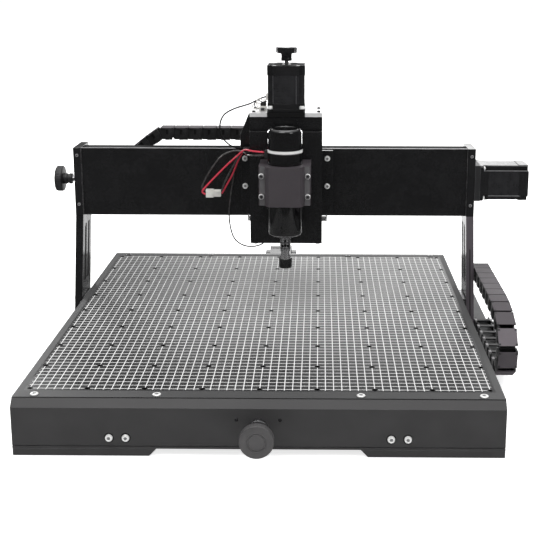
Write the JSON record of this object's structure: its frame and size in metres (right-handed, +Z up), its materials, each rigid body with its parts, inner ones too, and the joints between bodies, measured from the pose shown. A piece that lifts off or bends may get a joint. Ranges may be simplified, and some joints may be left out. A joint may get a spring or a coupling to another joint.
{
  "type": "cnc router",
  "caption": "Bench-top moving-gantry CNC router with a gridded clamping table, leadscrew drives with handwheels, cable chains and a collet spindle on a Z slide.",
  "frame": {"origin": "Bottom centre of the whole machine's bounding box, on the bench under the feet. The table's centre hole is 25 mm to the left and 14.5 mm to the front of it.", "axes": "+X along the beam towards the X motor, +Y from the front handwheel towards the gantry and the Y motor, +Z up along the spindle."},
  "size_m": [0.753, 0.729, 0.4585],
  "materials": {
    "black_anodised": "satin black anodised aluminium with a fine blasted grain",
    "table_plate": "dark grey anodised tooling plate, semi-gloss, with printed white grid lines",
    "dark_aluminium": "dark grey anodised extrusion and machined block, satin",
    "clamp_grey": "dark warm-grey bead-blasted aluminium",
    "gloss_black_metal": "gloss black lacquered steel tube with bright reflections",
    "motor_black": "black painted motor housing with a satin laminated middle",
    "bright_steel": "ground bearing steel, bright",
    "silver_screws": "bright nickel-plated screw heads",
    "silver_aluminium": "brushed natural aluminium",
    "black_nylon": "moulded black nylon chain links, slightly glossy",
    "white_nylon": "moulded natural white nylon",
    "red_wire": "soft glossy red silicone insulation",
    "black_wire": "soft black insulation"
  },
  "bodies": {
    "bed": {"table_plate": "table_plate", "front_panel": "black_anodised", "rear_panel": "black_anodised", "bed_frame": "dark_aluminium", "feet": "black_anodised", "y_rails": "bright_steel", "y_bearing_units": "dark_aluminium", "y_motor": "motor_black", "bed_screws": "silver_screws", "y_chain_tray": "dark_aluminium", "y_chain_lower": "black_nylon"},
    "gantry": {"left_gantry_plate": "black_anodised", "right_gantry_plate": "black_anodised", "x_beam": "black_anodised", "front_cover": "black_anodised", "lower_crossbar": "dark_aluminium", "y_nut_block": "dark_aluminium", "y_bearing_blocks": "bright_steel", "gantry_screws": "silver_screws", "x_rails": "bright_steel", "x_bearing_units": "dark_aluminium", "x_motor_mount": "dark_aluminium", "x_motor": "motor_black", "x_chain_tray": "dark_aluminium", "x_chain_lower": "black_nylon", "y_chain_bracket": "dark_aluminium", "y_chain_upper": "black_nylon"},
    "x_carriage": {"carriage_plate": "black_anodised", "wrap_brackets": "black_anodised", "x_saddle": "dark_aluminium", "x_bearing_blocks": "bright_steel", "x_nut_block": "dark_aluminium", "carriage_screws": "silver_screws", "z_housing": "black_anodised", "z_top_plate": "silver_aluminium", "z_guide_rods": "bright_steel", "z_bearing_plate": "dark_aluminium", "z_motor": "motor_black", "x_chain_bracket": "black_anodised", "x_chain_upper": "black_nylon", "wire_connector": "white_nylon", "z_motor_lead": "black_wire", "harness_wires": "red_wire", "limit_switch_lead": "black_wire", "spindle_wires": "red_wire"},
    "z_slide": {"z_slide_plate": "black_anodised", "z_carrier": "dark_aluminium", "spindle_clamp": "clamp_grey", "spindle_body": "gloss_black_metal", "spindle_ring": "silver_aluminium", "spindle_cap": "gloss_black_metal"},
    "y_drive": {"y_leadscrew": "bright_steel", "y_handwheel": "black_anodised"},
    "x_drive": {"x_leadscrew": "bright_steel", "x_handwheel": "black_anodised"},
    "z_drive": {"z_leadscrew": "bright_steel", "z_knob": "black_anodised"},
    "spindle_rotor": {"spindle_shaft": "bright_steel", "collet": "bright_steel", "collet_nut": "gloss_black_metal"}
  },
  "joints": [
    {"name": "gantry_slide", "type": "slide", "parent": "bed", "child": "gantry", "axis": [0, 1, 0], "range_m": [-0.28, 0.11], "deforming": ["y_chain_lower", "y_chain_upper"]},
    {"name": "carriage_slide", "type": "slide", "parent": "gantry", "child": "x_carriage", "axis": [1, 0, 0], "range_m": [-0.21, 0.18], "deforming": ["x_chain_lower", "x_chain_upper"]},
    {"name": "z_travel", "type": "slide", "parent": "x_carriage", "child": "z_slide", "axis": [0, 0, 1], "range_m": [-0.06, 0.02], "deforming": ["spindle_wires"]},
    {"name": "y_screw_turn", "type": "hinge", "parent": "bed", "child": "y_drive", "pos_m": [-0.025, -0.0145, 0.0365], "axis": [0, 1, 0], "continuous": true},
    {"name": "x_screw_turn", "type": "hinge", "parent": "gantry", "child": "x_drive", "pos_m": [-0.025, 0.1305, 0.2425], "axis": [1, 0, 0], "continuous": true},
    {"name": "z_screw_turn", "type": "hinge", "parent": "x_carriage", "child": "z_drive", "pos_m": [-0.004, 0.074, 0.2715], "axis": [0, 0, 1], "continuous": true},
    {"name": "spindle_spin", "type": "hinge", "parent": "z_slide", "child": "spindle_rotor", "pos_m": [-0.004, 0.0005, 0.1485], "axis": [0, 0, 1], "continuous": true}
  ],
  "couplings": [
    {"joint": "y_screw_turn", "follows": "gantry_slide", "rad_per_m": -1256.6},
    {"joint": "x_screw_turn", "follows": "carriage_slide", "rad_per_m": -1256.6},
    {"joint": "z_screw_turn", "follows": "z_travel", "rad_per_m": -1256.6}
  ]
}
